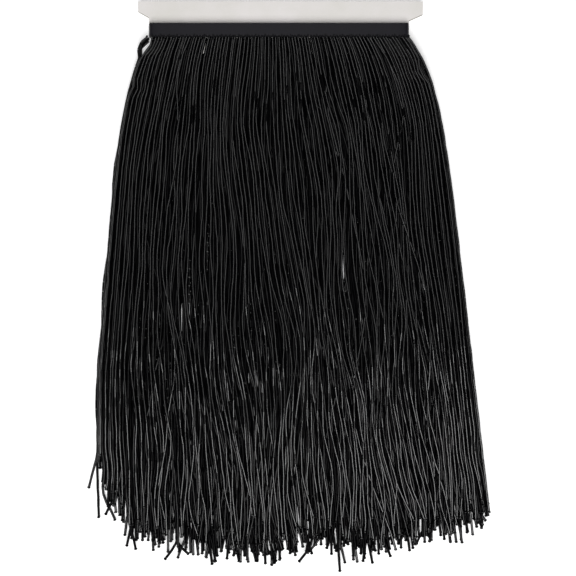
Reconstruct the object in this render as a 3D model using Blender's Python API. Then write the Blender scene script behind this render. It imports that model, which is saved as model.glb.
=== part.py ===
"""A long bead fringe on a ribbon heading, wound round a notched card and laid flat.

The card is the core that the ribbon is wound on. Half of the wound strands lie under it and
half lie over it, so the fringe is two combs: one flat on the surface and one on top of it.
Each comb has a spine where the strands leave the ribbon, and a tooth for each group of strands.
X runs along the ribbon, Y from the strands' tips to the card, and Z up from the surface.
"""

import math

import bmesh
import bpy

MM = 0.001
GAP = 0.3 * MM  # clearance between pieces that touch

# The ribbon: a flat oblong coil, one turn on another
RIBBON_WIDTH = 10.0 * MM
HEAD_LENGTH = 208.0 * MM  # the coil from end to end
HEAD_CENTRE_X = -7.6 * MM
HEAD_LOW_Y = 200.6 * MM  # the ribbon's edge that carries the strands
COIL_WALL = 3.6 * MM  # all the turns together
COIL_ROUND = 3.0 * MM

# The card, in the middle of the coil's thickness
CARD_LOW_Z = 5.6 * MM
CARD_THICKNESS = 3.0 * MM

# The card's outline: ears at the top, a notch that the ribbon sits in, a short tongue below it
CARD_LEFT_X = -120.4 * MM
CARD_RIGHT_X = 107.6 * MM
CARD_TOP_Y = 229.0 * MM
EAR_LOW_LEFT_Y = 221.0 * MM
EAR_LOW_RIGHT_Y = 218.6 * MM
EAR_SLANT = 5.0 * MM
SHOULDER = 1.2 * MM  # bare card between the ribbon and the notch's upper corner
TONGUE_LENGTH = 13.0 * MM
TONGUE_INSET = 1.6 * MM

# The strands
STRAND_GROUPS = 30
GROUP_FILL = 0.9  # a group's width as a share of the distance between groups
SPINE_DROP = 5.0 * MM
SECTIONS = 12
LONGEST_DROP = 429.6 * MM
UNDER_SHORTER = 5.0 * MM
TIP_NARROWING = 0.6

# How each side of the fan widens below the ribbon: a quick flare close to it, over a drop
# of so much, then a steady spread for each unit of drop
LEFT_FLARE = 20.0 * MM
LEFT_FLARE_DROP = 40.0 * MM
LEFT_SPREAD = 0.078
RIGHT_FLARE = 22.0 * MM
RIGHT_FLARE_DROP = 30.0 * MM
RIGHT_SPREAD = 0.115
SWAY = 2.4 * MM
SWAY_DROP = 250.0 * MM
SWAY_ACROSS = 1.3

# Heights of the two combs: drop below the ribbon, top of the lower, bottom and top of the upper
LIE = (
    (0.0, 3.6, 10.6, 14.6),
    (20.0, 3.6, 10.6, 14.6),
    (55.0, 4.8, 5.7, 11.2),
    (120.0, 4.8, 5.1, 10.0),
    (240.0, 4.4, 4.7, 9.2),
    (340.0, 4.0, 4.3, 8.2),
    (430.0, 3.2, 3.5, 6.6),
)

# Where the strands end: share of the way across from the left, drop as a share of the longest
TIPS = (
    (0.00, 0.902),
    (0.08, 0.892),
    (0.12, 0.960),
    (0.22, 0.977),
    (0.36, 0.935),
    (0.46, 0.984),
    (0.53, 0.926),
    (0.60, 0.951),
    (0.65, 1.000),
    (0.70, 0.942),
    (0.80, 0.921),
    (0.88, 0.930),
    (0.94, 0.898),
    (1.00, 0.906),
)


def clear_scene():
    """Remove every object that is in the scene."""
    for old in list(bpy.data.objects):
        bpy.data.objects.remove(old, do_unlink=True)


def finish(name, colour, roughness, metallic=0.0):
    """Return a Principled material."""
    material = bpy.data.materials.new(name)
    material.use_nodes = True
    shader = material.node_tree.nodes["Principled BSDF"]
    shader.inputs["Base Color"].default_value = (*colour, 1.0)
    shader.inputs["Roughness"].default_value = roughness
    shader.inputs["Metallic"].default_value = metallic
    return material


def add_object(name, bm, material):
    """Turn a bmesh into a named object with outward faces."""
    bmesh.ops.recalc_face_normals(bm, faces=bm.faces)
    mesh = bpy.data.meshes.new(name)
    bm.to_mesh(mesh)
    bm.free()
    mesh.materials.append(material)
    piece = bpy.data.objects.new(name, mesh)
    bpy.context.collection.objects.link(piece)
    return piece


def between(rows, at, column):
    """Read a column of a table at a value of its first column, straight between rows."""
    for low, high in zip(rows, rows[1:]):
        if at <= high[0]:
            share = (at - low[0]) / (high[0] - low[0])
            return low[column] + share * (high[column] - low[column])
    return rows[-1][column]


def extruded_outline(points, offset):
    """Return a bmesh of a flat outline drawn out by an offset."""
    bm = bmesh.new()
    face = bm.faces.new([bm.verts.new(point) for point in points])
    drawn = bmesh.ops.extrude_face_region(bm, geom=[face])["geom"]
    moved = [item for item in drawn if isinstance(item, bmesh.types.BMVert)]
    bmesh.ops.translate(bm, verts=moved, vec=offset)
    return bm


def draw_out(bm, face):
    """Extrude one face of a closed body in place and return the face at the new end."""
    drawn = bmesh.ops.extrude_face_region(bm, geom=[face])["geom"]
    bmesh.ops.delete(bm, geom=[face], context="FACES_ONLY")
    return next(item for item in drawn if isinstance(item, bmesh.types.BMFace))


def winding_card():
    """Make the notched card, with its lower tongue under the strands."""
    left = HEAD_CENTRE_X - HEAD_LENGTH / 2
    right = HEAD_CENTRE_X + HEAD_LENGTH / 2
    shoulder_y = HEAD_LOW_Y + RIBBON_WIDTH + SHOULDER
    tongue_y = HEAD_LOW_Y - GAP
    notch = COIL_WALL + GAP
    outline = (
        (CARD_LEFT_X, CARD_TOP_Y),
        (CARD_LEFT_X, EAR_LOW_LEFT_Y),
        (left, EAR_LOW_LEFT_Y - EAR_SLANT),
        (left, shoulder_y),
        (left + notch, shoulder_y),
        (left + notch, tongue_y),
        (left + TONGUE_INSET, tongue_y),
        (left + TONGUE_INSET, tongue_y - TONGUE_LENGTH),
        (right - TONGUE_INSET, tongue_y - TONGUE_LENGTH),
        (right - TONGUE_INSET, tongue_y),
        (right - notch, tongue_y),
        (right - notch, shoulder_y),
        (right, shoulder_y),
        (right, EAR_LOW_RIGHT_Y - EAR_SLANT),
        (CARD_RIGHT_X, EAR_LOW_RIGHT_Y),
        (CARD_RIGHT_X, CARD_TOP_Y),
    )
    points = [(x, y, CARD_LOW_Z) for x, y in outline]
    bm = extruded_outline(points, (0.0, 0.0, CARD_THICKNESS))
    return add_object("winding_card", bm, finish("card", (0.67, 0.645, 0.625), 0.75))


def rounded_rectangle(x0, x1, z0, z1, radius, steps=4):
    """Return the points of a rounded rectangle in X and Z, anticlockwise."""
    centres = (
        (x1 - radius, z1 - radius),
        (x0 + radius, z1 - radius),
        (x0 + radius, z0 + radius),
        (x1 - radius, z0 + radius),
    )
    points = []
    for quarter, (x, z) in enumerate(centres):
        for step in range(steps + 1):
            angle = math.radians(90) * (quarter + step / steps)
            points.append((x + radius * math.cos(angle), z + radius * math.sin(angle)))
    return points


def ribbon_heading():
    """Make the wound ribbon: an oblong ring round the card's notch."""
    left = HEAD_CENTRE_X - HEAD_LENGTH / 2
    right = HEAD_CENTRE_X + HEAD_LENGTH / 2
    low = CARD_LOW_Z - GAP
    top = CARD_LOW_Z + CARD_THICKNESS + GAP
    outer = rounded_rectangle(left, right, low - COIL_WALL, top + COIL_WALL, COIL_ROUND)
    inner = rounded_rectangle(left + COIL_WALL, right - COIL_WALL, low, top, GAP)
    bm = bmesh.new()
    rings = []
    for loop in (outer, inner):
        rings.append([bm.verts.new((x, HEAD_LOW_Y, z)) for x, z in loop])
    edges = []
    for ring in rings:
        for start, end in zip(ring, ring[1:] + ring[:1]):
            edges.append(bm.edges.new((start, end)))
    face_ring = bmesh.ops.bridge_loops(bm, edges=edges)["faces"]
    drawn = bmesh.ops.extrude_face_region(bm, geom=face_ring)["geom"]
    moved = [item for item in drawn if isinstance(item, bmesh.types.BMVert)]
    bmesh.ops.translate(bm, verts=moved, vec=(0.0, RIBBON_WIDTH, 0.0))
    return add_object("ribbon_heading", bm, finish("ribbon", (0.02, 0.02, 0.024), 0.45))


def side_reach(flare, flare_drop, spread, drop):
    """Return how far one side of the fan has moved outwards at a drop."""
    return flare * (1.0 - math.exp(-drop / flare_drop)) + spread * drop


def fan_x(share, drop):
    """Return where a strand lies, by its share of the way across and its drop."""
    half = HEAD_LENGTH / 2 - GAP
    left = -half - side_reach(LEFT_FLARE, LEFT_FLARE_DROP, LEFT_SPREAD, drop)
    right = half + side_reach(RIGHT_FLARE, RIGHT_FLARE_DROP, RIGHT_SPREAD, drop)
    turn = drop / SWAY_DROP + SWAY_ACROSS * share
    sway = SWAY * math.sin(math.tau * turn) * min(1.0, drop / SWAY_DROP)
    return HEAD_CENTRE_X + left + share * (right - left) + sway


def comb(name, low_column, top_column, shorter, shade):
    """Make one comb: a spine along the ribbon and a tooth for each group of strands.

    The columns are those of LIE that hold its underside and its top. A comb with None for
    its underside lies on the surface.
    """

    def heights(drop):
        low = 0.0 if low_column is None else between(LIE, drop / MM, low_column) * MM
        return low, between(LIE, drop / MM, top_column) * MM

    def place(corners, shares, drop):
        """Move a section's four corners to their places at a drop."""
        low, high = heights(drop)
        middle_x = sum(vert.co.x for vert in corners) / 4
        middle_z = sum(vert.co.z for vert in corners) / 4
        for vert in corners:
            share = shares[0] if vert.co.x < middle_x else shares[1]
            height = low if vert.co.z < middle_z else high
            vert.co = (fan_x(share, drop), HEAD_LOW_Y - drop, height)

    pitch = 1.0 / (STRAND_GROUPS - 1 + GROUP_FILL)
    stations = []
    for group in range(STRAND_GROUPS):
        stations += [group * pitch, (group + GROUP_FILL) * pitch]

    low, high = heights(0.0)
    profile = ((GAP, low), (GAP, high), (SPINE_DROP, high), (SPINE_DROP, low))
    points = [(fan_x(0.0, drop), HEAD_LOW_Y - drop, height) for drop, height in profile]
    bm = extruded_outline(points, (pitch * HEAD_LENGTH, 0.0, 0.0))
    end = max(bm.faces, key=lambda face: face.calc_center_median().x)
    for share in stations[1:]:
        for vert in end.verts:
            vert.co.x = fan_x(share, HEAD_LOW_Y - vert.co.y)
        if share < stations[-1]:
            end = draw_out(bm, end)

    bmesh.ops.recalc_face_normals(bm, faces=bm.faces)
    roots = [face for face in bm.faces if face.normal.y < -0.9]
    roots.sort(key=lambda face: face.calc_center_median().x)
    for group, face in enumerate(roots[::2]):
        start = stations[2 * group]
        stop = stations[2 * group + 1]
        middle = (start + stop) / 2
        reach = between(TIPS, middle, 1) * LONGEST_DROP - shorter
        for section in range(1, SECTIONS + 1):
            drop = SPINE_DROP + (reach - SPINE_DROP) * section / SECTIONS
            narrow = TIP_NARROWING if section == SECTIONS else 1.0
            shares = (middle + (start - middle) * narrow, middle + (stop - middle) * narrow)
            face = draw_out(bm, face)
            place(face.verts, shares, drop)
    return add_object(name, bm, finish(name, shade, 0.15))


def centre_on_surface(pieces):
    """Bring the middle of the pieces' box over the origin."""
    corners = [vert.co for piece in pieces for vert in piece.data.vertices]
    middle_x = (min(co.x for co in corners) + max(co.x for co in corners)) / 2
    middle_y = (min(co.y for co in corners) + max(co.y for co in corners)) / 2
    for piece in pieces:
        piece.location = (-middle_x, -middle_y, 0.0)


def build():
    """Build the trim."""
    clear_scene()
    pieces = [
        winding_card(),
        ribbon_heading(),
        comb("under_fringe", None, 1, UNDER_SHORTER, (0.012, 0.012, 0.014)),
        comb("upper_fringe", 2, 3, 0.0, (0.02, 0.02, 0.022)),
    ]
    centre_on_surface(pieces)


build()
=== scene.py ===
"""A long glass-bead fringe on a satin ribbon heading, wound round a card and laid flat.

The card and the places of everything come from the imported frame. The ribbon is one long strip
wound in turns round the card's notch. The strands are rows of bugle beads that hang from its
lower edge: half of them lie under the card and half over it, and each rests on those laid
down before it.
"""

import logging
import math
from dataclasses import dataclass
from enum import Enum

import bmesh
import bpy
import numpy as np
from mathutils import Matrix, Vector


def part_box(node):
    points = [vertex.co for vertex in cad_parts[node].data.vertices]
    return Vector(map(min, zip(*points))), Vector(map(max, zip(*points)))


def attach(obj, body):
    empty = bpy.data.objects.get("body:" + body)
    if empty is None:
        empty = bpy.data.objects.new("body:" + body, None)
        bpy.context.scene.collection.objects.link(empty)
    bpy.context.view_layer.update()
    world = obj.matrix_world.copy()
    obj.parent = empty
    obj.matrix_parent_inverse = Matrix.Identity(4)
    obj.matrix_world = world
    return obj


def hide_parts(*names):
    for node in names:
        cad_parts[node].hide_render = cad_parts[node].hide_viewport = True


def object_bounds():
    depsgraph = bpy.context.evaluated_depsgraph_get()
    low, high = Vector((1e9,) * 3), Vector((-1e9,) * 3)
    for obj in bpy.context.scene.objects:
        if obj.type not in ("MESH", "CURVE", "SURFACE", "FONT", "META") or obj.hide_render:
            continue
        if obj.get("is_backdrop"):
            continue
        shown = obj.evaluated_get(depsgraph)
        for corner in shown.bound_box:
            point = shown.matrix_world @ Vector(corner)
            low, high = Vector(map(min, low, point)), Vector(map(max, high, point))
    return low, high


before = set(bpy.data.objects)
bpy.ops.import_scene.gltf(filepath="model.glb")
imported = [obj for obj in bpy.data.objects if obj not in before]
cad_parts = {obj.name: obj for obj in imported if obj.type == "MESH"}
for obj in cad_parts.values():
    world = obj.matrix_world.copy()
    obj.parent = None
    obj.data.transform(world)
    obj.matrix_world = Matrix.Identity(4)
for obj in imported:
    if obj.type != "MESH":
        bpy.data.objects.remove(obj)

LOG = logging.getLogger("bead_fringe")
MM = 0.001
BODY = "root"


class Face(Enum):
    """The side of the card that a run of the wound trim lies on."""

    UNDER = "under_fringe"
    OVER = "upper_fringe"


class Side(Enum):
    """The left or right edge of the fan of strands."""

    LEFT = 0
    RIGHT = 1


# ---------------------------------------------------------------- materials


def linear(hex_colour: str) -> tuple[float, float, float, float]:
    """Turn an sRGB hex colour into linear light.

    Args:
        hex_colour: six hex digits after a hash.

    Returns:
        Red, green, blue and an alpha of 1.
    """
    channels = [int(hex_colour[start : start + 2], 16) / 255 for start in (1, 3, 5)]
    lit = [c / 12.92 if c <= 0.04045 else ((c + 0.055) / 1.055) ** 2.4 for c in channels]
    return (lit[0], lit[1], lit[2], 1.0)


def add_node(tree: bpy.types.NodeTree, kind: str, inputs: dict[str | int, object],
             **settings: object) -> bpy.types.Node:
    """Add a node to a tree.

    Args:
        tree: the node tree.
        kind: the node's type name.
        inputs: socket name or index to a value, or to the output socket that feeds it.
        settings: the node's own properties.

    Returns:
        The new node.
    """
    node = tree.nodes.new(kind)
    for name, value in settings.items():
        setattr(node, name, value)
    for name, value in inputs.items():
        if isinstance(value, bpy.types.NodeSocket):
            tree.links.new(value, node.inputs[name])
        else:
            node.inputs[name].default_value = value
    return node


def new_material(name: str) -> tuple[bpy.types.Material, bpy.types.NodeTree, bpy.types.Node]:
    """Make an empty material.

    Args:
        name: the material's name.

    Returns:
        The material, its node tree and its Principled shader.
    """
    material = bpy.data.materials.new(name)
    material.use_nodes = True
    tree = material.node_tree
    return material, tree, tree.nodes["Principled BSDF"]


def ramp(tree: bpy.types.NodeTree, factor: bpy.types.NodeSocket, low: str, high: str,
         start: float = 0.0, stop: float = 1.0) -> bpy.types.NodeSocket:
    """Blend two hex colours by a factor.

    Args:
        tree: the node tree.
        factor: the output socket that drives the blend.
        low: the colour at and below start.
        high: the colour at and above stop.
        start: the factor where the blend starts.
        stop: the factor where the blend ends.

    Returns:
        The colour output.
    """
    node = add_node(tree, "ShaderNodeValToRGB", {"Fac": factor})
    first, last = node.color_ramp.elements
    first.position, first.color = start, linear(low)
    last.position, last.color = stop, linear(high)
    return node.outputs["Color"]


def mapped(tree: bpy.types.NodeTree, factor: bpy.types.NodeSocket,
           low: float, high: float) -> bpy.types.NodeSocket:
    """Spread a factor of 0 to 1 over a range.

    Args:
        tree: the node tree.
        factor: the output socket that is spread.
        low: the value where the factor is 0.
        high: the value where the factor is 1.

    Returns:
        The value output.
    """
    inputs = {"Value": factor, "To Min": low, "To Max": high}
    return add_node(tree, "ShaderNodeMapRange", inputs).outputs["Result"]


@dataclass(frozen=True)
class JetGlass:
    """Opaque black pressed glass, fire-polished: a deep black with a clean, slightly soft shine.

    Each bead's own tone makes some a little greyer and duller than others, and a fine film of
    handling marks breaks the shine. The specular level stands for how much light reaches the
    layer: it is painted shade, turned down for the layers that lie inside the mat.
    """

    name: str
    specular: float = 0.5
    dark: str = "#020203"
    pale: str = "#080809"
    ior: float = 1.56
    smooth: float = 0.07
    dull: float = 0.24
    film_size: float = 1.6 * MM

    def make(self) -> bpy.types.Material:
        """Make the material.

        Returns:
            The glass, which reads each bead's attribute bead_tone.
        """
        material, tree, shader = new_material(self.name)
        tone = add_node(tree, "ShaderNodeAttribute", {}, attribute_name="bead_tone")
        place = add_node(tree, "ShaderNodeTexCoord", {})
        film = add_node(tree, "ShaderNodeTexNoise",
                        {"Vector": place.outputs["Object"], "Scale": 1 / self.film_size})
        mixed_inputs = {0: tone.outputs["Fac"], 1: film.outputs["Fac"]}
        mixed = add_node(tree, "ShaderNodeMath", mixed_inputs, operation="MULTIPLY")
        colour = ramp(tree, tone.outputs["Fac"], self.dark, self.pale)
        tree.links.new(colour, shader.inputs["Base Color"])
        rough = mapped(tree, mixed.outputs["Value"], self.smooth, self.dull)
        tree.links.new(rough, shader.inputs["Roughness"])
        shader.inputs["IOR"].default_value = self.ior
        shader.inputs["Specular IOR Level"].default_value = self.specular
        return material


@dataclass(frozen=True)
class SatinRibbon:
    """Black polyester satin: floats along the ribbon give a soft sheen, and the colour along the
    selvedges is the darkest of the face's range.

    The real threads are about 0.1 mm apart, too fine to show, so the ribs are drawn at 0.5 mm.
    """

    name: str = "black_satin_ribbon"
    dark: str = "#111014"
    pale: str = "#1A1920"
    roughness: float = 0.5
    specular: float = 0.25
    sheen: float = 0.03
    rib: float = 0.5 * MM
    float_length: float = 5.0 * MM
    width: float = 10.0 * MM
    selvedge: float = 0.7 * MM
    rib_share: float = 0.35
    relief: float = 0.35
    relief_depth: float = 0.05 * MM

    def make(self) -> bpy.types.Material:
        """Make the material.

        Returns:
            The satin. It reads the map named along, whose U runs along the ribbon and V across
            it, in metres.
        """
        material, tree, shader = new_material(self.name)
        place = add_node(tree, "ShaderNodeUVMap", {}, uv_map="along")
        stretch = (1 / self.float_length, 1 / self.rib, 1.0)
        spread = add_node(tree, "ShaderNodeMapping",
                          {"Vector": place.outputs["UV"], "Scale": stretch})
        floats = add_node(tree, "ShaderNodeTexNoise",
                          {"Vector": spread.outputs["Vector"], "Scale": 1.0, "Detail": 3.0})
        split = add_node(tree, "ShaderNodeSeparateXYZ", {"Vector": place.outputs["UV"]})
        ribs = add_node(tree, "ShaderNodeMath",
                        {0: split.outputs["X"], 1: math.tau / self.rib}, operation="MULTIPLY")
        rib_wave = add_node(tree, "ShaderNodeMath", {0: ribs.outputs["Value"]}, operation="SINE")
        middle = add_node(tree, "ShaderNodeMath",
                          {0: split.outputs["Y"], 1: self.width / 2}, operation="SUBTRACT")
        off = add_node(tree, "ShaderNodeMath", {0: middle.outputs["Value"]}, operation="ABSOLUTE")
        edge_inputs = {
            "Value": off.outputs["Value"],
            "From Min": self.width / 2 - self.selvedge,
            "From Max": self.width / 2 - self.selvedge / 2,
        }
        edge = add_node(tree, "ShaderNodeMapRange", edge_inputs)
        face = ramp(tree, floats.outputs["Fac"], self.dark, self.pale, 0.3, 0.7)
        colour = add_node(tree, "ShaderNodeMix",
                          {0: edge.outputs["Result"], 6: face, 7: linear(self.dark)},
                          data_type="RGBA")
        tree.links.new(colour.outputs[2], shader.inputs["Base Color"])
        weave = add_node(tree, "ShaderNodeMath",
                         {0: rib_wave.outputs["Value"], 1: self.rib_share,
                          2: floats.outputs["Fac"]}, operation="MULTIPLY_ADD")
        bump = add_node(tree, "ShaderNodeBump",
                        {"Height": weave.outputs["Value"], "Strength": self.relief,
                         "Distance": self.relief_depth})
        tree.links.new(bump.outputs["Normal"], shader.inputs["Normal"])
        shader.inputs["Roughness"].default_value = self.roughness
        shader.inputs["Specular IOR Level"].default_value = self.specular
        shader.inputs["Sheen Weight"].default_value = self.sheen
        return material


@dataclass(frozen=True)
class Greyboard:
    """Grey paperboard: a calendered pale face with faint fibre clouds, and a darker cut edge."""

    name: str = "calendered_greyboard"
    face_low: str = "#E1DED9"
    face_high: str = "#E9E5E3"
    edge_low: str = "#6E685C"
    edge_high: str = "#8F897C"
    roughness: float = 0.62
    cloud: float = 22.0 * MM
    fibre: float = 0.9 * MM
    fibre_share: float = 0.35
    relief: float = 0.25
    relief_depth: float = 0.05 * MM

    def make(self) -> bpy.types.Material:
        """Make the material.

        Returns:
            The board, pale where a face lies flat and dark where it stands upright.
        """
        material, tree, shader = new_material(self.name)
        place = add_node(tree, "ShaderNodeTexCoord", {})
        clouds, fibres = (
            add_node(tree, "ShaderNodeTexNoise",
                     {"Vector": place.outputs["Object"], "Scale": 1 / size, "Detail": detail})
            for size, detail in ((self.cloud, 2.0), (self.fibre, 4.0))
        )
        mixed = add_node(tree, "ShaderNodeMath",
                         {0: fibres.outputs["Fac"], 1: self.fibre_share,
                          2: clouds.outputs["Fac"]}, operation="MULTIPLY_ADD")
        face = ramp(tree, mixed.outputs["Value"], self.face_low, self.face_high, 0.45, 0.9)
        edge = ramp(tree, fibres.outputs["Fac"], self.edge_low, self.edge_high, 0.3, 0.7)
        turn = add_node(tree, "ShaderNodeNewGeometry", {})
        split = add_node(tree, "ShaderNodeSeparateXYZ", {"Vector": turn.outputs["Normal"]})
        flat = add_node(tree, "ShaderNodeMath", {0: split.outputs["Z"]}, operation="ABSOLUTE")
        colour = add_node(tree, "ShaderNodeMix",
                          {0: flat.outputs["Value"], 6: edge, 7: face}, data_type="RGBA")
        tree.links.new(colour.outputs[2], shader.inputs["Base Color"])
        bump = add_node(tree, "ShaderNodeBump",
                        {"Height": fibres.outputs["Fac"], "Strength": self.relief,
                         "Distance": self.relief_depth})
        tree.links.new(bump.outputs["Normal"], shader.inputs["Normal"])
        shader.inputs["Roughness"].default_value = self.roughness
        return material


@dataclass(frozen=True)
class SpunThread:
    """Black spun polyester thread: matt, with the twist's fine ridges."""

    name: str = "black_spun_thread"
    dark: str = "#08080A"
    pale: str = "#17171B"
    roughness: float = 0.75
    specular: float = 0.15
    twist: float = 0.4 * MM
    relief: float = 0.5
    relief_depth: float = 0.1 * MM

    def make(self) -> bpy.types.Material:
        """Make the material.

        Returns:
            The thread.
        """
        material, tree, shader = new_material(self.name)
        place = add_node(tree, "ShaderNodeTexCoord", {})
        twist = add_node(tree, "ShaderNodeTexNoise",
                         {"Vector": place.outputs["Object"], "Scale": 1 / self.twist,
                          "Detail": 1.0})
        colour = ramp(tree, twist.outputs["Fac"], self.dark, self.pale, 0.35, 0.65)
        tree.links.new(colour, shader.inputs["Base Color"])
        bump = add_node(tree, "ShaderNodeBump",
                        {"Height": twist.outputs["Fac"], "Strength": self.relief,
                         "Distance": self.relief_depth})
        tree.links.new(bump.outputs["Normal"], shader.inputs["Normal"])
        shader.inputs["Roughness"].default_value = self.roughness
        shader.inputs["Specular IOR Level"].default_value = self.specular
        return material


# ---------------------------------------------------------------- meshes


def add_object(name: str, mesh: bpy.types.Mesh, material: bpy.types.Material) -> bpy.types.Object:
    """Link a mesh as an object that rides on the trim's body.

    Args:
        name: the piece's name.
        mesh: its mesh, already in place.
        material: its only material.

    Returns:
        The piece.
    """
    mesh.materials.append(material)
    piece = bpy.data.objects.new(name, mesh)
    bpy.context.scene.collection.objects.link(piece)
    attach(piece, BODY)
    return piece


@dataclass
class Template:
    """A small shape that is repeated many times, along Z with its middle at the origin."""

    points: np.ndarray
    faces: list[list[int]]
    flat_ends: bool

    @classmethod
    def taken_from(cls, bm: bmesh.types.BMesh, flat_ends: bool) -> "Template":
        """Read a bmesh and free it.

        Args:
            bm: the shape.
            flat_ends: whether the rims round its two ends are sharp.

        Returns:
            The template.
        """
        bm.normal_update()
        bm.verts.index_update()
        points = np.array([vert.co for vert in bm.verts])
        faces = [[vert.index for vert in face.verts] for face in bm.faces]
        bm.free()
        return cls(points, faces, flat_ends)

    def repeated(self, name: str, centres: np.ndarray, axes: np.ndarray,
                 tones: np.ndarray) -> bpy.types.Mesh:
        """Join one copy of the shape at each place into one mesh.

        Args:
            name: the mesh's name.
            centres: the places, one row each.
            axes: for each place, the directions of the shape's X, Y and Z as rows.
            tones: a value from 0 to 1 for each copy, kept as the attribute bead_tone.

        Returns:
            The mesh.
        """
        count, size = len(centres), len(self.points)
        places = np.einsum("pk,nkc->npc", self.points, axes) + centres[:, None, :]
        corners = np.concatenate([np.array(face) for face in self.faces])
        starts = np.cumsum([0] + [len(face) for face in self.faces])[:-1]
        shift = np.arange(count)[:, None]
        mesh = bpy.data.meshes.new(name)
        mesh.vertices.add(count * size)
        mesh.vertices.foreach_set("co", places.astype(np.float32).ravel())
        mesh.loops.add(count * len(corners))
        mesh.loops.foreach_set("vertex_index", (corners + shift * size).ravel())
        mesh.polygons.add(count * len(self.faces))
        mesh.polygons.foreach_set("loop_start", (starts + shift * len(corners)).ravel())
        mesh.polygons.foreach_set("use_smooth", np.ones(count * len(self.faces), dtype=bool))
        layer = mesh.attributes.new("bead_tone", "FLOAT", "POINT")
        layer.data.foreach_set("value", np.repeat(tones, size).astype(np.float32))
        mesh.update(calc_edges=True)
        if self.flat_ends:
            edges = np.empty(2 * len(mesh.edges), dtype=np.int32)
            mesh.edges.foreach_get("vertices", edges)
            height = self.points[edges.reshape(-1, 2) % size, 2]
            rim = mesh.attributes.new("sharp_edge", "BOOLEAN", "EDGE")
            rim.data.foreach_set("value", np.isclose(height[:, 0], height[:, 1]))
        return mesh


def bugle_bead(sides: int, diameter: float, length: float) -> Template:
    """Make a bugle bead: a short cut length of glass tube.

    Args:
        sides: how many flats stand for its round.
        diameter: across it.
        length: along the thread.

    Returns:
        The bead's template.
    """
    bm = bmesh.new()
    bmesh.ops.create_cone(bm, cap_ends=True, cap_tris=False, segments=sides,
                          radius1=diameter / 2, radius2=diameter / 2, depth=length)
    return Template.taken_from(bm, flat_ends=True)


def seed_bead(diameter: float, length: float) -> Template:
    """Make a round seed bead, shorter along the thread than it is wide.

    Args:
        diameter: across it.
        length: along the thread.

    Returns:
        The bead's template.
    """
    bm = bmesh.new()
    bmesh.ops.create_uvsphere(bm, u_segments=8, v_segments=5, radius=diameter / 2)
    bmesh.ops.scale(bm, vec=(1.0, 1.0, length / diameter), verts=bm.verts)
    return Template.taken_from(bm, flat_ends=False)


def thread_loop(diameter: float, thread: float) -> Template:
    """Make a stitched loop of thread: a small ring round the Y axis.

    Args:
        diameter: the ring's, to the middle of the thread.
        thread: the thread's diameter.

    Returns:
        The loop's template.
    """
    bm = bmesh.new()
    bmesh.ops.create_circle(bm, cap_ends=False, segments=5, radius=thread / 2)
    bmesh.ops.translate(bm, verts=bm.verts, vec=(diameter / 2, 0, 0))
    bmesh.ops.spin(bm, geom=list(bm.verts) + list(bm.edges), cent=(0, 0, 0), axis=(0, 1, 0),
                   dvec=(0, 0, 0), angle=math.tau, steps=10, use_merge=True)
    bmesh.ops.recalc_face_normals(bm, faces=bm.faces)
    return Template.taken_from(bm, flat_ends=False)


# ---------------------------------------------------------------- the ribbon


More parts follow.
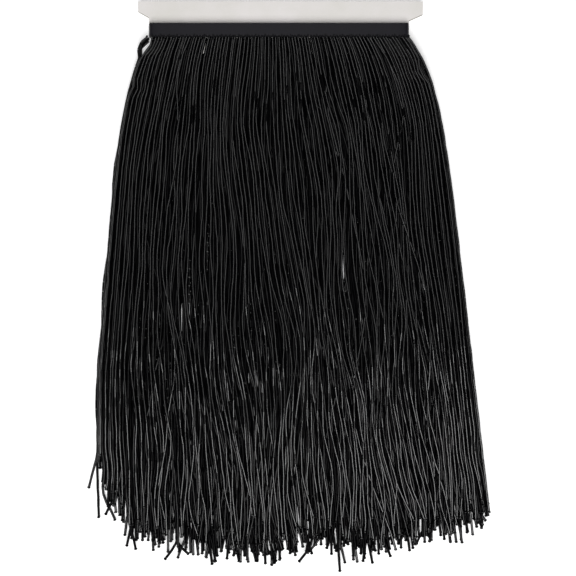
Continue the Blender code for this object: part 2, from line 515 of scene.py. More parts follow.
@dataclass
class RibbonHeading:
    """The satin ribbon, wound in turns round the card's notch."""

    turns: int = 9
    thickness: float = 0.26 * MM
    core_gap: float = 0.3 * MM
    run_steps: int = 30
    corner_steps: int = 4
    across_steps: int = 8
    knot_pitch: float = 6.9 * MM
    pulled: float = 0.15 * MM
    edge_crowding: float = 2.2

    def __post_init__(self) -> None:
        """Read the coil's and the card's places from the frame."""
        self.low, self.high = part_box("ribbon_heading")
        card_low, card_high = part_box("winding_card")
        self.core_low_z = card_low.z - self.core_gap
        self.core_high_z = card_high.z + self.core_gap
        self.wall = self.high.z - self.core_high_z

    def stations(self) -> list[tuple[float, float, float, float]]:
        """Walk once round the core.

        Returns:
            X and Z of each point, then X and Z of its outward direction.
        """
        left, right = self.low.x + self.wall, self.high.x - self.wall
        corners = (
            (left, self.core_high_z, math.pi),
            (right, self.core_high_z, math.pi / 2),
            (right, self.core_low_z, 0.0),
            (left, self.core_low_z, -math.pi / 2),
        )
        found = []
        for index, (x, z, start) in enumerate(corners):
            for step in range(self.corner_steps + 1):
                angle = start - math.pi / 2 * step / self.corner_steps
                found.append((x, z, math.cos(angle), math.sin(angle)))
            next_x = corners[(index + 1) % 4][0]
            direction = start - math.pi / 2
            if abs(next_x - x) > self.wall:
                for step in range(1, self.run_steps):
                    at = x + (next_x - x) * step / self.run_steps
                    found.append((at, z, math.cos(direction), math.sin(direction)))
        return found

    def path(self) -> np.ndarray:
        """Wind the strip's middle outwards from the core.

        Returns:
            The X and Z of its points along all the turns.
        """
        turn = self.stations()
        pitch = (self.wall - self.thickness) / self.turns
        points = []
        for index in range(self.turns * len(turn) + len(turn) // 2):
            x, z, out_x, out_z = turn[index % len(turn)]
            offset = min(self.thickness / 2 + pitch * index / len(turn),
                         self.wall - self.thickness / 2)
            points.append((x + out_x * offset, z + out_z * offset))
        return np.array(points)

    def length(self) -> float:
        """Return the ribbon's length, unwound."""
        return float(np.linalg.norm(np.diff(self.path(), axis=0), axis=1).sum())

    def share_across(self, flat_y: float) -> float:
        """Crowd a flat grid's rows towards the selvedges.

        Args:
            flat_y: the row's place on the grid, from -0.5 to 0.5.

        Returns:
            Its place across the ribbon, from 0 at the lower edge to 1.
        """
        side = 2.0 * flat_y
        return 0.5 + 0.5 * math.copysign(1.0 - (1.0 - abs(side)) ** self.edge_crowding, side)

    def make(self, finish: SatinRibbon) -> bpy.types.Object:
        """Make the wound ribbon.

        Args:
            finish: the ribbon's material.

        Returns:
            The ribbon's object.
        """
        path = self.path()
        along = np.concatenate([[0.0], np.cumsum(np.linalg.norm(np.diff(path, axis=0), axis=1))])
        last = len(path) - 1
        width = self.high.y - self.low.y
        bm = bmesh.new()
        bmesh.ops.create_grid(bm, x_segments=last, y_segments=self.across_steps, size=0.5,
                              calc_uvs=True)
        layer = bm.loops.layers.uv.verify()
        layer_name = layer.name
        for face in bm.faces:
            for loop in face.loops:
                step = round((loop.vert.co.x + 0.5) * last)
                loop[layer].uv = (along[step], self.share_across(loop.vert.co.y) * width)
        for vert in bm.verts:
            share = self.share_across(vert.co.y)
            x, z = path[round((vert.co.x + 0.5) * last)]
            wave = math.cos(math.tau * x / self.knot_pitch)
            y = self.low.y + share * width + self.pulled * wave * (1.0 - share) ** 2
            vert.co = (x, y, z)
        mesh = bpy.data.meshes.new("satin_ribbon")
        bm.to_mesh(mesh)
        bm.free()
        mesh.uv_layers[layer_name].name = "along"
        mesh.polygons.foreach_set("use_smooth", [True] * len(mesh.polygons))
        ribbon = add_object("satin_ribbon", mesh, finish.make())
        solid = ribbon.modifiers.new("thickness", "SOLIDIFY")
        solid.thickness = self.thickness
        solid.offset = 0.0
        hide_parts("ribbon_heading")
        return ribbon


# ---------------------------------------------------------------- the strands


@dataclass(frozen=True)
class Slit:
    """A gap beside the outermost strands, where they bow away from the others."""

    side: Side
    start: float
    stop: float
    width: float
    bowed: float = 0.0


SLITS = (
    Slit(Side.LEFT, 0.0 * MM, 15.0 * MM, 3.4 * MM, 5.0 * MM),
    Slit(Side.LEFT, 36.0 * MM, 46.0 * MM, 2.2 * MM),
    Slit(Side.LEFT, 333.0 * MM, 360.0 * MM, 1.8 * MM),
    Slit(Side.RIGHT, 21.0 * MM, 35.0 * MM, 3.2 * MM),
    Slit(Side.RIGHT, 318.0 * MM, 350.0 * MM, 1.8 * MM),
)


@dataclass
class Fan:
    """The outline that the strands spread over below the ribbon."""

    left_flare: float = 21.0 * MM
    left_flare_drop: float = 38.0 * MM
    left_spread: float = 0.078
    left_stop: float = 265.0 * MM
    right_flare: float = 22.0 * MM
    right_flare_drop: float = 30.0 * MM
    right_spread: float = 0.115
    inset: float = 1.0 * MM
    edge_share: float = 0.004
    push_share: float = 0.10
    slit_fullness: float = 0.7

    def __post_init__(self) -> None:
        """Read the ribbon's place from the frame."""
        low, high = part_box("ribbon_heading")
        self.left_x, self.right_x, self.low_y = low.x, high.x, low.y

    def edges(self, drop: np.ndarray) -> tuple[np.ndarray, np.ndarray]:
        """Find the fan's two edges.

        Args:
            drop: how far below the ribbon each point is.

        Returns:
            The X of the left and of the right edge at each drop.
        """
        left = self.left_x - self.left_spread * np.minimum(drop, self.left_stop)
        left -= self.left_flare * (1.0 - np.exp(-drop / self.left_flare_drop))
        right = self.right_x + self.right_spread * drop
        right += self.right_flare * (1.0 - np.exp(-drop / self.right_flare_drop))
        return left + self.inset, right - self.inset

    def across(self, share: np.ndarray, drop: np.ndarray) -> np.ndarray:
        """Return the X of strands.

        Args:
            share: how far across the fan each point is, from 0 at the left to 1.
            drop: how far below the ribbon each point is.

        Returns:
            The X of each point, clear of the slits.
        """
        drop = np.maximum(drop, 0.0)
        left, right = self.edges(drop)
        x = left + share * (right - left)
        for slit in SLITS:
            phase = np.clip((drop - slit.start) / (slit.stop - slit.start), 0.0, 1.0)
            width = slit.width * np.sin(math.pi * phase) ** self.slit_fullness
            inner = share if slit.side is Side.LEFT else 1.0 - share
            push = np.clip(1.0 - inner / self.push_share, 0.0, 1.0)
            outward = -width * slit.bowed / slit.width
            shift = np.where(inner > self.edge_share, width * push, outward)
            x = x + shift * (1.0 if slit.side is Side.LEFT else -1.0)
        return x


@dataclass(frozen=True)
class Stray:
    """A strand whose end sticks out.

    It ends at X and at a drop below the ribbon, both in millimetres, and leans there by degrees
    to the right.
    """

    x: float
    drop: float
    lean: float


STRAYS = (
    Stray(-161.0, 364.0, -14.0),
    Stray(-152.6, 388.0, 1.0),
    Stray(-146.5, 384.0, -26.0),
    Stray(-138.5, 390.5, 24.0),
    Stray(-129.8, 410.5, -12.0),
    Stray(-121.0, 412.5, 14.0),
    Stray(-112.6, 407.0, -6.0),
    Stray(-102.8, 407.5, -5.0),
    Stray(-99.6, 421.0, -32.0),
    Stray(-88.8, 419.5, -20.0),
    Stray(-77.6, 415.5, 48.0),
    Stray(-60.4, 424.0, 6.0),
    Stray(-46.6, 417.0, 10.0),
    Stray(-34.5, 417.5, 4.0),
    Stray(-25.0, 421.5, 14.0),
    Stray(-13.5, 427.0, -14.0),
    Stray(-9.0, 422.5, 30.0),
    Stray(8.0, 423.0, -32.0),
    Stray(14.8, 416.5, -36.0),
    Stray(30.8, 413.0, -18.0),
    Stray(42.2, 429.5, 4.0),
    Stray(47.0, 425.0, 14.0),
    Stray(53.0, 419.0, 3.0),
    Stray(60.4, 421.8, -8.0),
    Stray(68.8, 413.5, 0.0),
    Stray(77.2, 409.0, -34.0),
    Stray(88.0, 408.5, -28.0),
    Stray(91.6, 412.0, 2.0),
    Stray(103.2, 407.5, -24.0),
    Stray(113.2, 406.5, -12.0),
    Stray(135.2, 399.5, 10.0),
    Stray(143.2, 385.0, 6.0),
    Stray(156.4, 393.5, 28.0),
    Stray(160.2, 389.5, 34.0),
    Stray(161.0, 378.0, 14.0),
)


@dataclass
class Pile:
    """The height that strands laid down so far reach, over a grid on the surface."""

    cell: float = 0.5 * MM
    margin: float = 12.0 * MM
    lateral: int = 7
    footing: float = 0.92

    def __post_init__(self) -> None:
        """Start with the bare surface."""
        low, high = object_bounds()
        self.origin = np.array([low.x - self.margin, low.y - self.margin])
        size = (np.array([high.x, high.y]) + self.margin - self.origin) / self.cell
        self.height = np.zeros(size.astype(int) + 2)

    def cells(self, points: np.ndarray) -> tuple[np.ndarray, np.ndarray]:
        """Find the grid cells that hold points.

        Args:
            points: X and Y in the last axis.

        Returns:
            The cells' two indices, each in the shape of the points.
        """
        at = ((points - self.origin) / self.cell).astype(int)
        limit = np.array(self.height.shape) - 1
        at = np.clip(at, 0, limit)
        return at[..., 0], at[..., 1]

    def raise_box(self, low: Vector, high: Vector) -> None:
        """Lift the height under a solid's box to its top.

        Args:
            low: the box's low corner.
            high: its high corner.
        """
        first = self.cells(np.array([low.x, low.y]))
        last = self.cells(np.array([high.x, high.y]))
        area = self.height[first[0] : last[0] + 1, first[1] : last[1] + 1]
        np.maximum(area, high.z, out=area)

    def footprint(self, points: np.ndarray, sideways: np.ndarray,
                  radius: float) -> tuple[tuple[np.ndarray, np.ndarray], np.ndarray]:
        """Find the cells under a round strand.

        Args:
            points: points along the strand in X and Y.
            sideways: the direction across the strand at each point.
            radius: the strand's radius.

        Returns:
            The cells and the skin's distance below or above the middle, one column per offset.
        """
        offsets = np.linspace(-self.footing, self.footing, self.lateral) * radius
        spots = points[:, None, :] + offsets[None, :, None] * sideways[:, None, :]
        skin = np.sqrt(radius**2 - offsets**2)
        return self.cells(spots), skin[None, :]


class LayerShade(Enum):
    """Painted shade in each layer's glass: its specular level, turned down for the inner layers in
    place of the shade that the outer layers cast on them.
    """

    FULLY_LIT = 0.55
    SOFT = 0.17
    DULL = 0.03


@dataclass(frozen=True)
class Layer:
    """One layer of strands that lie side by side.

    The lean is a share of the fan's width, the cut back how much shorter its strands are than
    the longest, the stagger a share of the spacing, and the disorder scales how far each strand
    wanders. The sewn share says how high on its side of the wound ribbon the layer is sewn.
    """

    name: str
    face: Face
    count: int
    sides: int
    lean: float
    cut_back: float
    stagger: float
    disorder: float
    sewn: float
    # painted shade: the specular level of the layer's glass, lower for the inner layers
    painted_shade: LayerShade


# The last column is each layer's painted shade, darker for the layers inside the mat.
LAYERS = (
    Layer("strands_under_1", Face.UNDER, 100, 6, 0.0, 4.0 * MM, 0.0, 0.15, 0.15, LayerShade.FULLY_LIT),
    Layer("strands_under_2", Face.UNDER, 100, 6, 0.0, 4.0 * MM, 0.5, 0.25, 0.5, LayerShade.SOFT),
    Layer("strands_under_3", Face.UNDER, 76, 6, 0.02, 5.0 * MM, 0.0, 0.8, 0.85, LayerShade.DULL),
    Layer("strands_over_1", Face.OVER, 104, 8, 0.035, 6.0 * MM, 0.5, 0.9, 0.25, LayerShade.DULL),
    Layer("strands_over_2", Face.OVER, 110, 8, 0.055, 9.0 * MM, 0.0, 1.0, 0.6, LayerShade.SOFT),
    Layer("strands_over_3", Face.OVER, 80, 8, 0.07, 14.0 * MM, 0.5, 1.15, 0.95, LayerShade.FULLY_LIT),
)


@dataclass(frozen=True)
class Wave:
    """A slow wave in the lie of the whole fringe.

    The size is sideways, the folds are how many waves fit across the fan, and the fall is the
    drop of one wave down it.
    """

    size: float
    folds: float
    fall: float
    start: float


FLOW = (
    Wave(2.6 * MM, 1.3, 430 * MM, 0.10),
    Wave(1.9 * MM, -2.6, 270 * MM, 0.55),
    Wave(1.2 * MM, 4.4, 180 * MM, 0.85),
    Wave(0.5 * MM, -7.5, 115 * MM, 0.30),
)


@dataclass(frozen=True)
class TipLevel:
    """How far the longest strands drop at one place across the fan, in millimetres."""

    share: float
    drop: float


TIP_LEVELS = (
    TipLevel(0.00, 352.0),
    TipLevel(0.03, 376.0),
    TipLevel(0.055, 387.0),
    TipLevel(0.08, 405.0),
    TipLevel(0.18, 409.0),
    TipLevel(0.25, 416.0),
    TipLevel(0.45, 418.0),
    TipLevel(0.50, 408.0),
    TipLevel(0.60, 411.0),
    TipLevel(0.66, 418.0),
    TipLevel(0.72, 410.0),
    TipLevel(0.82, 404.0),
    TipLevel(0.92, 400.0),
    TipLevel(0.96, 392.0),
    TipLevel(1.00, 387.0),
)


@dataclass
class Strand:
    """One strand: its joints from the ribbon to the tip."""

    joints: np.ndarray
    drops: np.ndarray


@dataclass
class BeadFringe:
    """All the strands, layer on layer, with their beads, tips and stitched heads."""

    fan: Fan
    pile: Pile
    bead_diameter: float = 2.2 * MM
    bead_length: float = 7.0 * MM
    bead_pitch: float = 7.2 * MM
    pitch_shares: tuple[float, float] = (0.93, 1.07)
    tip_diameter: float = 3.0 * MM
    tip_length: float = 2.1 * MM
    knot_diameter: float = 1.9 * MM
    knot_length: float = 1.7 * MM
    knot_scatter: float = 0.15 * MM
    head_drop: float = 1.3 * MM
    longest: float = 440.0 * MM
    full_drop: float = 400.0 * MM
    ease_drop: float = 70.0 * MM
    uneven: float = 7.0 * MM
    most_uneven: float = 1.7
    wander: float = 0.55 * MM
    crossing_share: float = 0.06
    crossing: float = 5.5 * MM
    joint_shift: float = 0.12 * MM
    joint_lift: float = 0.06 * MM
    undulation: float = 0.35 * MM
    arched_share: float = 0.35
    arch_height: float = 2.2 * MM
    arch_length: float = 60.0 * MM
    arch_places: tuple[float, float] = (30.0 * MM, 380.0 * MM)
    splay_angle: float = 5.0
    splay_length: float = 32.0 * MM
    stray_bend: float = 36.0 * MM
    stray_full_lean: float = 65.0
    stray_turn: float = 24.0 * MM
    steepest: float = 0.12
    head_slope: float = 0.10
    tongue_slope: float = 0.3
    tongue_gap: float = 0.1 * MM
    nestle: float = 0.9
    rest_samples: int = 12
    layer_rise: float = 1.75 * MM
    layer_blend: float = 0.7
    rise_drop: float = 30.0 * MM
    tuck_every: int = 3
    tuck_depth: float = 1.5 * MM
    tuck_drop: float = 170.0 * MM
    loop_pitch: float = 6.9 * MM
    loop_scatter: float = 0.3 * MM
    loop_margin: float = 3.0 * MM
    loop_diameter: float = 2.2 * MM
    loop_thread: float = 0.8 * MM
    seed: int = 23

    def __post_init__(self) -> None:
        """Read the heading's heights from the frame and start the random draws."""
        self.rng = np.random.default_rng(self.seed)
        self.radius = self.bead_diameter / 2
        self.ribbon_low, self.ribbon_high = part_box("ribbon_heading")
        self.card_low, self.card_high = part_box("winding_card")
        self.tongue_drop = self.fan.low_y - self.card_low.y

    def waves(self, drops: np.ndarray, shortest: float, longest: float, count: int) -> np.ndarray:
        """Draw a smooth random curve of about unit size along a strand.

        Args:
            drops: where the curve is wanted.
            shortest: the shortest wave.
            longest: the longest wave.
            count: how many waves are added up.

        Returns:
            The curve at each drop.
        """
        total = np.zeros_like(drops)
        for _ in range(count):
            period = self.rng.uniform(shortest, longest)
            total += np.sin(math.tau * (drops / period + self.rng.random()))
        return total / math.sqrt(count / 2)

    def route(self, share: float, reach: float, layer: Layer, common: np.ndarray,
              drops: np.ndarray) -> np.ndarray:
        """Lay out one strand's path.

        Args:
            share: where it leaves the ribbon.
            reach: how far it drops.
            layer: the layer it lies in.
            common: the wander that the whole layer shares, as a share of the fan's width.
            drops: the drops.

        Returns:
            The X at each drop.
        """
        left, right = self.fan.edges(drops)
        down = np.clip(drops / self.full_drop, 0.0, 1.0)
        own = self.wander * self.waves(drops, 55 * MM, 150 * MM, 3) * (0.7 + 0.9 * down)
        if self.rng.random() < self.crossing_share:
            own += self.crossing * self.waves(drops, 150 * MM, 340 * MM, 2)
        own *= layer.disorder
        for wave in FLOW:
            turn = wave.folds * share + drops / wave.fall + wave.start
            own += min(1.0, 0.3 + layer.disorder) * wave.size * np.sin(math.tau * turn)
        ease = np.clip(drops / self.ease_drop, 0.0, 1.0) ** 1.2
        lean = layer.lean * math.sin(math.pi * share) * np.sin(math.pi / 2 * down) ** 1.5
        calm = min(1.0, 6.0 * min(share, 1.0 - share))
        moved = share + (lean + common * layer.disorder + own / (right - left)) * ease * calm
        angle = math.radians(self.rng.normal(0.0, self.splay_angle))
        splay = math.tan(angle) * min(1.0, calm + 0.3)
        last = np.maximum(drops - (reach - self.splay_length), 0.0)
        return self.fan.across(np.clip(moved, 0.0, 1.0), drops) + splay * last

    def stray_route(self, stray: Stray, drops: np.ndarray) -> np.ndarray:
        """Lay out the path of a strand that ends where a stray does.

        Args:
            stray: where it ends.
            drops: the drops.

        Returns:
            The X at each drop.
        """
        bend = self.stray_bend * (1.0 - abs(stray.lean) / self.stray_full_lean)
        slope = math.tan(math.radians(stray.lean))
        turn = stray.drop * MM - bend
        turn_x = stray.x * MM - slope * bend
        left, right = self.fan.edges(np.array([turn]))
        share = float(np.clip((turn_x - left[0]) / (right[0] - left[0]), 0.0, 1.0))
        own = self.wander * self.waves(drops, 60 * MM, 150 * MM, 3)
        fade = np.clip((turn - drops) / (60 * MM), 0.0, 1.0) * np.clip(drops / (45 * MM), 0.0, 1.0)
        x = self.fan.across(np.full_like(drops, share), drops) + own * fade
        at_turn = self.fan.across(np.array([share]), np.array([turn]))[0]
        past = np.clip((drops - turn + self.stray_turn / 2) / self.stray_turn, 0.0, 1.0)
        straight = turn_x + slope * (drops - turn)
        drawn = (turn_x - at_turn) * np.clip(drops / turn, 0, 1) ** 3
        return x + drawn * (1 - past) + (straight - x) * past

    def strand(self, x: np.ndarray, drops: np.ndarray, disorder: float) -> Strand:
        """Cut a route into beads.

        Args:
            x: the route's X at each drop.
            drops: the drops, closely spaced.
            disorder: how much the beads stray from the route, where 1 is usual.

        Returns:
            The strand, lying flat.
        """
        step = np.hypot(np.diff(x), np.diff(drops))
        along = np.concatenate([[0.0], np.cumsum(step)])
        length = along[-1] - self.tip_length
        count = math.ceil(length / self.bead_pitch)
        pitches = self.bead_pitch * self.rng.uniform(*self.pitch_shares, count)
        from_tip = np.cumsum(pitches)
        from_tip = from_tip[from_tip < length - 0.25 * self.bead_pitch]
        marks = np.concatenate([[0.0], (length - from_tip)[::-1], [length]])
        count = len(marks) - 1
        at_drop = np.interp(marks, along, drops)
        at_x = np.interp(marks, along, x)
        at_x[1:] += self.rng.normal(0.0, self.joint_shift * disorder, count)
        joints = np.stack([at_x, self.fan.low_y - at_drop, np.zeros(count + 1)], axis=1)
        return Strand(joints, at_drop)

    def sewn_height(self, layer: Layer) -> float:
        """Find the height at which a layer's strands leave the ribbon.

        Args:
            layer: the layer.

        Returns:
            The height above the surface.
        """
        if layer.face is Face.UNDER:
            low, high = self.ribbon_low.z, self.card_low.z
        else:
            low, high = self.card_high.z, self.ribbon_high.z
        return low + layer.sewn * (high - low)

    def ceiling(self, layer: Layer, drops: np.ndarray) -> np.ndarray:
        """Find the highest that a strand's middle may be, as packed down as strands nestle.

        Args:
            layer: the strand's layer.
            drops: the drops of the strand's joints.

        Returns:
            The height at each joint, where no strand under the card reaches into it.
        """
        level = LAYERS.index(layer) + self.layer_blend * self.rng.random()
        packed = self.radius + self.layer_rise * level + self.lifted(drops, layer)
        if layer.face is Face.UNDER:
            held = self.card_low.z - self.radius - self.tongue_gap
            past_tongue = np.maximum(drops - self.tongue_drop, 0.0)
            return np.minimum(packed, held + self.tongue_slope * past_tongue)
        eased = np.clip(drops / self.rise_drop, 0.0, 1.0)
        return packed * eased + self.sewn_height(layer) * (1.0 - eased)

    def lifted(self, drops: np.ndarray, layer: Layer) -> np.ndarray:
        """Draw a strand's slight unevenness and, for some, a low arch.

        Args:
            drops: the drops of the strand's joints.
            layer: the strand's layer.

        Returns:
            How far each joint is held up.
        """
        lift = self.rng.normal(0.0, self.joint_lift, len(drops)) * layer.disorder
        if layer.face is Face.UNDER:
            return lift
        lift += self.undulation * self.waves(drops, 45 * MM, 130 * MM, 3)
        if self.rng.random() < self.arched_share:
            middle = self.rng.uniform(*self.arch_places)
            length = self.arch_length * self.rng.uniform(0.5, 1.2)
            height = self.arch_height * self.rng.uniform(0.3, 1.0)
            lift += height * np.exp(-(((drops - middle) / (length / 2)) ** 2))
        return lift

    def lay_down(self, strand: Strand, layer: Layer, tucked: bool) -> None:
        """Rest a strand on the pile and add it to the pile.

        Args:
            strand: the strand, whose joints get their heights.
            layer: its layer.
            tucked: whether it starts below its neighbours, where they are crowded.
        """
        samples = self.rest_samples
        start, stop = strand.joints[:-1, :2], strand.joints[1:, :2]
        share = (np.arange(samples) + 0.5) / samples
        points = start[:, None, :] + share[None, :, None] * (stop - start)[:, None, :]
        heading = (stop - start) / np.linalg.norm(stop - start, axis=1)[:, None]
        sideways = np.stack([-heading[:, 1], heading[:, 0]], axis=1)
        sideways = np.repeat(sideways, samples, axis=0)
        cells, skin = self.pile.footprint(points.reshape(-1, 2), sideways, self.radius)
        need = (self.pile.height[cells] + skin * self.nestle).max(axis=1)
        need = need.reshape(-1, samples)
        half = samples // 2
        before = np.concatenate([need[:1, :half], need[:, half:]]).max(axis=1)
        after = np.concatenate([need[:, :half], need[-1:, half:]]).max(axis=1)
        z = np.maximum(before, after)
        fall = self.steepest * self.bead_pitch
        for index in range(1, len(z)):
            z[index] = max(z[index], z[index - 1] - fall)
        for index in range(len(z) - 2, -1, -1):
            z[index] = max(z[index], z[index + 1] - fall)
        tuck = self.tuck_depth * np.clip(1.0 - strand.drops / self.tuck_drop, 0.0, 1.0)
        z = np.minimum(z, self.ceiling(layer, strand.drops) - tuck * tucked)
        if layer.face is Face.OVER:
            held = self.sewn_height(layer) - tuck * tucked
            z = np.maximum(z, held - self.head_slope * strand.drops)
        strand.joints[:, 2] = np.maximum(z, self.radius)
        spread = z[:-1, None] + share[None, :] * (z[1:] - z[:-1])[:, None]
        np.maximum.at(self.pile.height, cells, spread.reshape(-1, 1) + skin)

    def layer_strands(self, layer: Layer, strays: list[Stray]) -> list[Strand]:
        """Lay out one layer's strands and rest each on the pile.

        Args:
            layer: the layer.
            strays: the strands of this layer that stick out.

        Returns:
            The strands.
        """
        fine = np.arange(self.head_drop, self.longest, 2 * MM)
        phases = self.rng.random((3, 2))
        strands = []
        order = self.rng.permutation(layer.count)
        clumps = self.rng.random(3)
        for index in order:
            share = (index + 0.25 + layer.stagger) / layer.count
            middle = min(1.0, 12.0 * min(share, 1.0 - share))
            share += self.rng.normal(0.0, 0.12) / layer.count * middle * layer.disorder
            share = float(np.clip(share, 0.0, 1.0))
            clump = sum(math.sin(math.tau * (share * (9 + 5 * k) + clumps[k])) for k in range(3))
            level = np.interp(share, [tip.share for tip in TIP_LEVELS],
                              [tip.drop for tip in TIP_LEVELS]) * MM
            spread = 0.35 * clump + self.rng.normal(0.0, 0.95)
            reach = level - layer.cut_back + self.uneven * min(spread, self.most_uneven)
            drops = fine[fine <= reach]
            common = np.zeros_like(drops)
            for k, (across, down) in enumerate(phases):
                turn = drops / ((150 + 70 * k) * MM) + across + (1.0 + 1.4 * k) * share
                common += 0.005 * np.sin(math.tau * turn) * math.cos(math.tau * down)
            route = self.route(share, reach, layer, common, drops)
            strand = self.strand(route, drops, layer.disorder)
            self.lay_down(strand, layer, index % self.tuck_every == 1)
            strands.append(strand)
        for stray in strays:
            drops = fine[fine <= stray.drop * MM]
            strand = self.strand(self.stray_route(stray, drops), drops, layer.disorder)
            self.lay_down(strand, layer, True)
            strands.append(strand)
        return strands

    def axes(self, along: np.ndarray, roll: np.ndarray) -> np.ndarray:
        """Work out which way beads are turned.

        Args:
            along: each bead's direction along its thread.
            roll: each bead's turn round it.

        Returns:
            The X, Y and Z directions of each bead, as rows.
        """
        up = np.array([0.0, 0.0, 1.0])
        side = np.cross(along, up)
        side /= np.linalg.norm(side, axis=1)[:, None]
        out = np.cross(along, side)
        turned_x = np.cos(roll)[:, None] * side + np.sin(roll)[:, None] * out
        turned_y = np.cross(along, turned_x)
        return np.stack([turned_x, turned_y, along], axis=1)

    def beads(self, layer: Layer, strands: list[Strand], finish: bpy.types.Material,
              thread: bpy.types.Material) -> list[bpy.types.Object]:
        """Make one layer's bugle beads, its tip beads and its stitched heads.

        Args:
            layer: the layer.
            strands: its strands, at rest.
            finish: the beads' glass, with the layer's painted shade in its specular level.
            thread: the heads' thread.

        Returns:
            The pieces.
        """
        start = np.concatenate([strand.joints[:-1] for strand in strands])
        stop = np.concatenate([strand.joints[1:] for strand in strands])
        along = stop - start
        along /= np.linalg.norm(along, axis=1)[:, None]
        count = len(start)
        roll = self.rng.uniform(0.0, math.tau, count)
        tone = self.rng.random(count) ** 1.5
        bead = bugle_bead(layer.sides, self.bead_diameter, self.bead_length)
        axes = self.axes(along, roll)
        axes[:, 2] *= (np.linalg.norm(stop - start, axis=1) / self.bead_pitch)[:, None]
        mesh = bead.repeated(layer.name, (start + stop) / 2, axes, tone)
        body = add_object(layer.name, mesh, finish)

        ends = np.array([strand.joints[-1] for strand in strands])
        before = np.array([strand.joints[-2] for strand in strands])
        away = ends - before
        away /= np.linalg.norm(away, axis=1)[:, None]
        tips = ends + away * self.tip_length * 0.45
        tips[:, 2] = np.maximum(tips[:, 2], self.tip_diameter / 2)
        turn = self.rng.uniform(0.0, math.tau, len(ends))
        seed = seed_bead(self.tip_diameter, self.tip_length)
        name = layer.name.replace("strands", "tips")
        mesh = seed.repeated(name, tips, self.axes(away, turn), self.rng.random(len(ends)))
        tip_piece = add_object(name, mesh, finish)

        heads = np.array([strand.joints[0] for strand in strands])
        heads[:, 1] += self.head_drop * 0.8
        heads[:, 2] = self.sewn_height(layer)
        heads[:, 2] += self.rng.normal(0.0, self.knot_scatter, len(heads))
        down = np.tile([0.0, -1.0, 0.0], (len(heads), 1))
        knot = seed_bead(self.knot_diameter, self.knot_length)
        name = layer.name.replace("strands", "heads")
        mesh = knot.repeated(name, heads, self.axes(down, turn), self.rng.random(len(heads)))
        head_piece = add_object(name, mesh, thread)

        for piece in (body, tip_piece, head_piece):
            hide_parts(layer.face.value)
        return [body, tip_piece, head_piece]

    def edge_loops(self, thread: bpy.types.Material) -> bpy.types.Object:
        """Make the loops of thread that whip the outer turn's lower edge.

        Args:
            thread: the loops' thread.

        Returns:
            The piece.
        """
        x = np.arange(self.ribbon_low.x + self.loop_margin,
                      self.ribbon_high.x - self.loop_margin, self.loop_pitch)
        x = x + self.rng.normal(0.0, self.loop_scatter, len(x))
        places = np.stack([x, np.full_like(x, self.fan.low_y + 0.1 * MM),
                           np.full_like(x, self.ribbon_high.z - 0.5 * MM)], axis=1)
        turned = np.tile(np.array([[0.0, 1.0, 0.0], [-1.0, 0.0, 0.0], [0.0, 0.0, 1.0]]),
                         (len(x), 1, 1))
        loop = thread_loop(self.loop_diameter, self.loop_thread)
        mesh = loop.repeated("edge_loops", places, turned, self.rng.random(len(x)))
        piece = add_object("edge_loops", mesh, thread)
        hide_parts(Face.OVER.value)
        return piece

    def make(self) -> list[bpy.types.Object]:
        """Lay down and make every layer, from the surface up.

        Returns:
            All the fringe's pieces.
        """
        # Lit and shaded copies of one glass: painted shade for the inner layers of the mat.
        glass = {
            painted_shade: JetGlass(f"jet_glass_{painted_shade.name.lower()}", painted_shade.value).make()
            for painted_shade in LayerShade
        }
        thread = SpunThread().make()
        pieces = [self.edge_loops(thread)]
        laid = None
        stray_layers = [LAYERS[1], LAYERS[2], LAYERS[3]]
        for layer in LAYERS:
            if laid is Face.UNDER and layer.face is Face.OVER:
                self.pile.raise_box(self.card_low, self.card_high)
            laid = layer.face
            strays = []
            if layer in stray_layers:
                strays = list(STRAYS[stray_layers.index(layer) :: len(stray_layers)])
            strands = self.layer_strands(layer, strays)
            pieces += self.beads(layer, strands, glass[layer.painted_shade], thread)
            top = max(strand.joints[:, 2].max() for strand in strands) + self.radius
            LOG.info("%s: %d strands, top at %.1f mm", layer.name, len(strands), top / MM)
        return pieces


# ---------------------------------------------------------------- the card, stage and light


def dress_card() -> None:
    """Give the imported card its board."""
    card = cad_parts["winding_card"]
    card.data.materials.clear()
    card.data.materials.append(Greyboard().make())


@dataclass(frozen=True)
class Softbox:
    """A rectangular light: its middle, its width along X and its other side.

    The radiance is how bright its face is, where 1 is a white surface.
    """

    name: str
    place: tuple[float, float, float]
    size: tuple[float, float]
    radiance: float


SOFTBOXES = (
    Softbox("key", (0.0, -1.05, 1.5), (0.8, 1.75), 9.6),
    Softbox("fill", (0.0, 0.18, 1.7), (0.5, 0.89), 3.5),
)


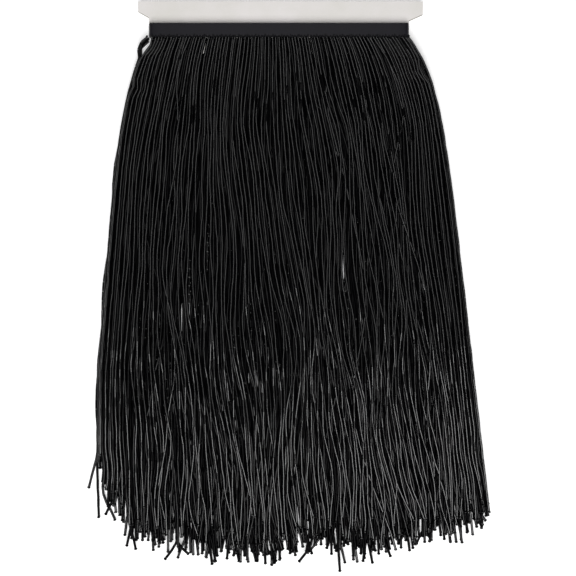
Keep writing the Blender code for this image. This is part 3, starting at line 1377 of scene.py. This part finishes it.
@dataclass
class Studio:
    """A pale floor, soft light from the tips' side, and a camera straight above."""

    camera_height: float = 750.0 * MM
    view_width: float = 460.8 * MM
    focus_height: float = 9.0 * MM
    centre_x: float = 0.4 * MM
    centre_y: float = -0.6 * MM
    floor_size: float = 6.0
    floor_gap: float = 0.05 * MM
    floor_glow: float = 0.3
    surround: float = 0.03
    sensor: float = 36.0

    def floor(self) -> None:
        """Make the floor just under the trim."""
        bm = bmesh.new()
        bmesh.ops.create_grid(bm, x_segments=1, y_segments=1, size=self.floor_size / 2)
        bmesh.ops.translate(bm, verts=bm.verts, vec=(0, 0, -self.floor_gap))
        mesh = bpy.data.meshes.new("floor")
        bm.to_mesh(mesh)
        bm.free()
        material, _, shader = new_material("pale_floor")
        shader.inputs["Base Color"].default_value = linear("#F4F4F4")
        shader.inputs["Roughness"].default_value = 0.9
        shader.inputs["Specular IOR Level"].default_value = 0.1
        shader.inputs["Emission Color"].default_value = linear("#FFFFFF")
        shader.inputs["Emission Strength"].default_value = self.floor_glow
        mesh.materials.append(material)
        floor = bpy.data.objects.new("floor", mesh)
        bpy.context.scene.collection.objects.link(floor)
        floor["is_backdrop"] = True

    def light(self, box: Softbox) -> None:
        """Add a softbox that faces the trim.

        Args:
            box: the softbox.
        """
        lamp = bpy.data.lights.new(box.name, "AREA")
        lamp.shape = "RECTANGLE"
        lamp.size, lamp.size_y = box.size
        lamp.energy = box.radiance * math.pi * box.size[0] * box.size[1]
        holder = bpy.data.objects.new(box.name, lamp)
        holder.location = box.place
        holder.rotation_euler = (-Vector(box.place)).to_track_quat("-Z", "Y").to_euler()
        bpy.context.scene.collection.objects.link(holder)

    def camera(self) -> None:
        """Add the camera, looking straight down with the card at the top of the view."""
        data = bpy.data.cameras.new("camera")
        data.sensor_width = self.sensor
        data.lens = self.sensor * self.camera_height / self.view_width
        data.clip_start, data.clip_end = 0.05, 50.0
        camera = bpy.data.objects.new("camera", data)
        camera.location = (self.centre_x, self.centre_y, self.focus_height + self.camera_height)
        bpy.context.scene.collection.objects.link(camera)
        bpy.context.scene.camera = camera

    def world(self) -> None:
        """Set an even, dim surround."""
        world = bpy.data.worlds.new("surround")
        world.use_nodes = True
        shade = world.node_tree.nodes["Background"]
        shade.inputs["Color"].default_value = (1.0, 1.0, 1.0, 1.0)
        shade.inputs["Strength"].default_value = self.surround
        bpy.context.scene.world = world

    def make(self) -> None:
        """Build the studio."""
        self.floor()
        self.camera()
        self.world()
        for box in SOFTBOXES:
            self.light(box)
        bpy.context.scene.view_settings.view_transform = "Standard"


def main() -> None:
    """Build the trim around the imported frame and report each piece."""
    logging.basicConfig(level=logging.INFO, format="%(name)s: %(message)s")
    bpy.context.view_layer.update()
    Studio().make()
    dress_card()
    heading = RibbonHeading()
    ribbon = heading.make(SatinRibbon())
    fringe = BeadFringe(Fan(), Pile())
    pieces = fringe.make()
    for piece in [ribbon, *pieces]:
        LOG.info("%s: %d faces", piece.name, len(piece.data.polygons))


if __name__ == "__main__":
    main()
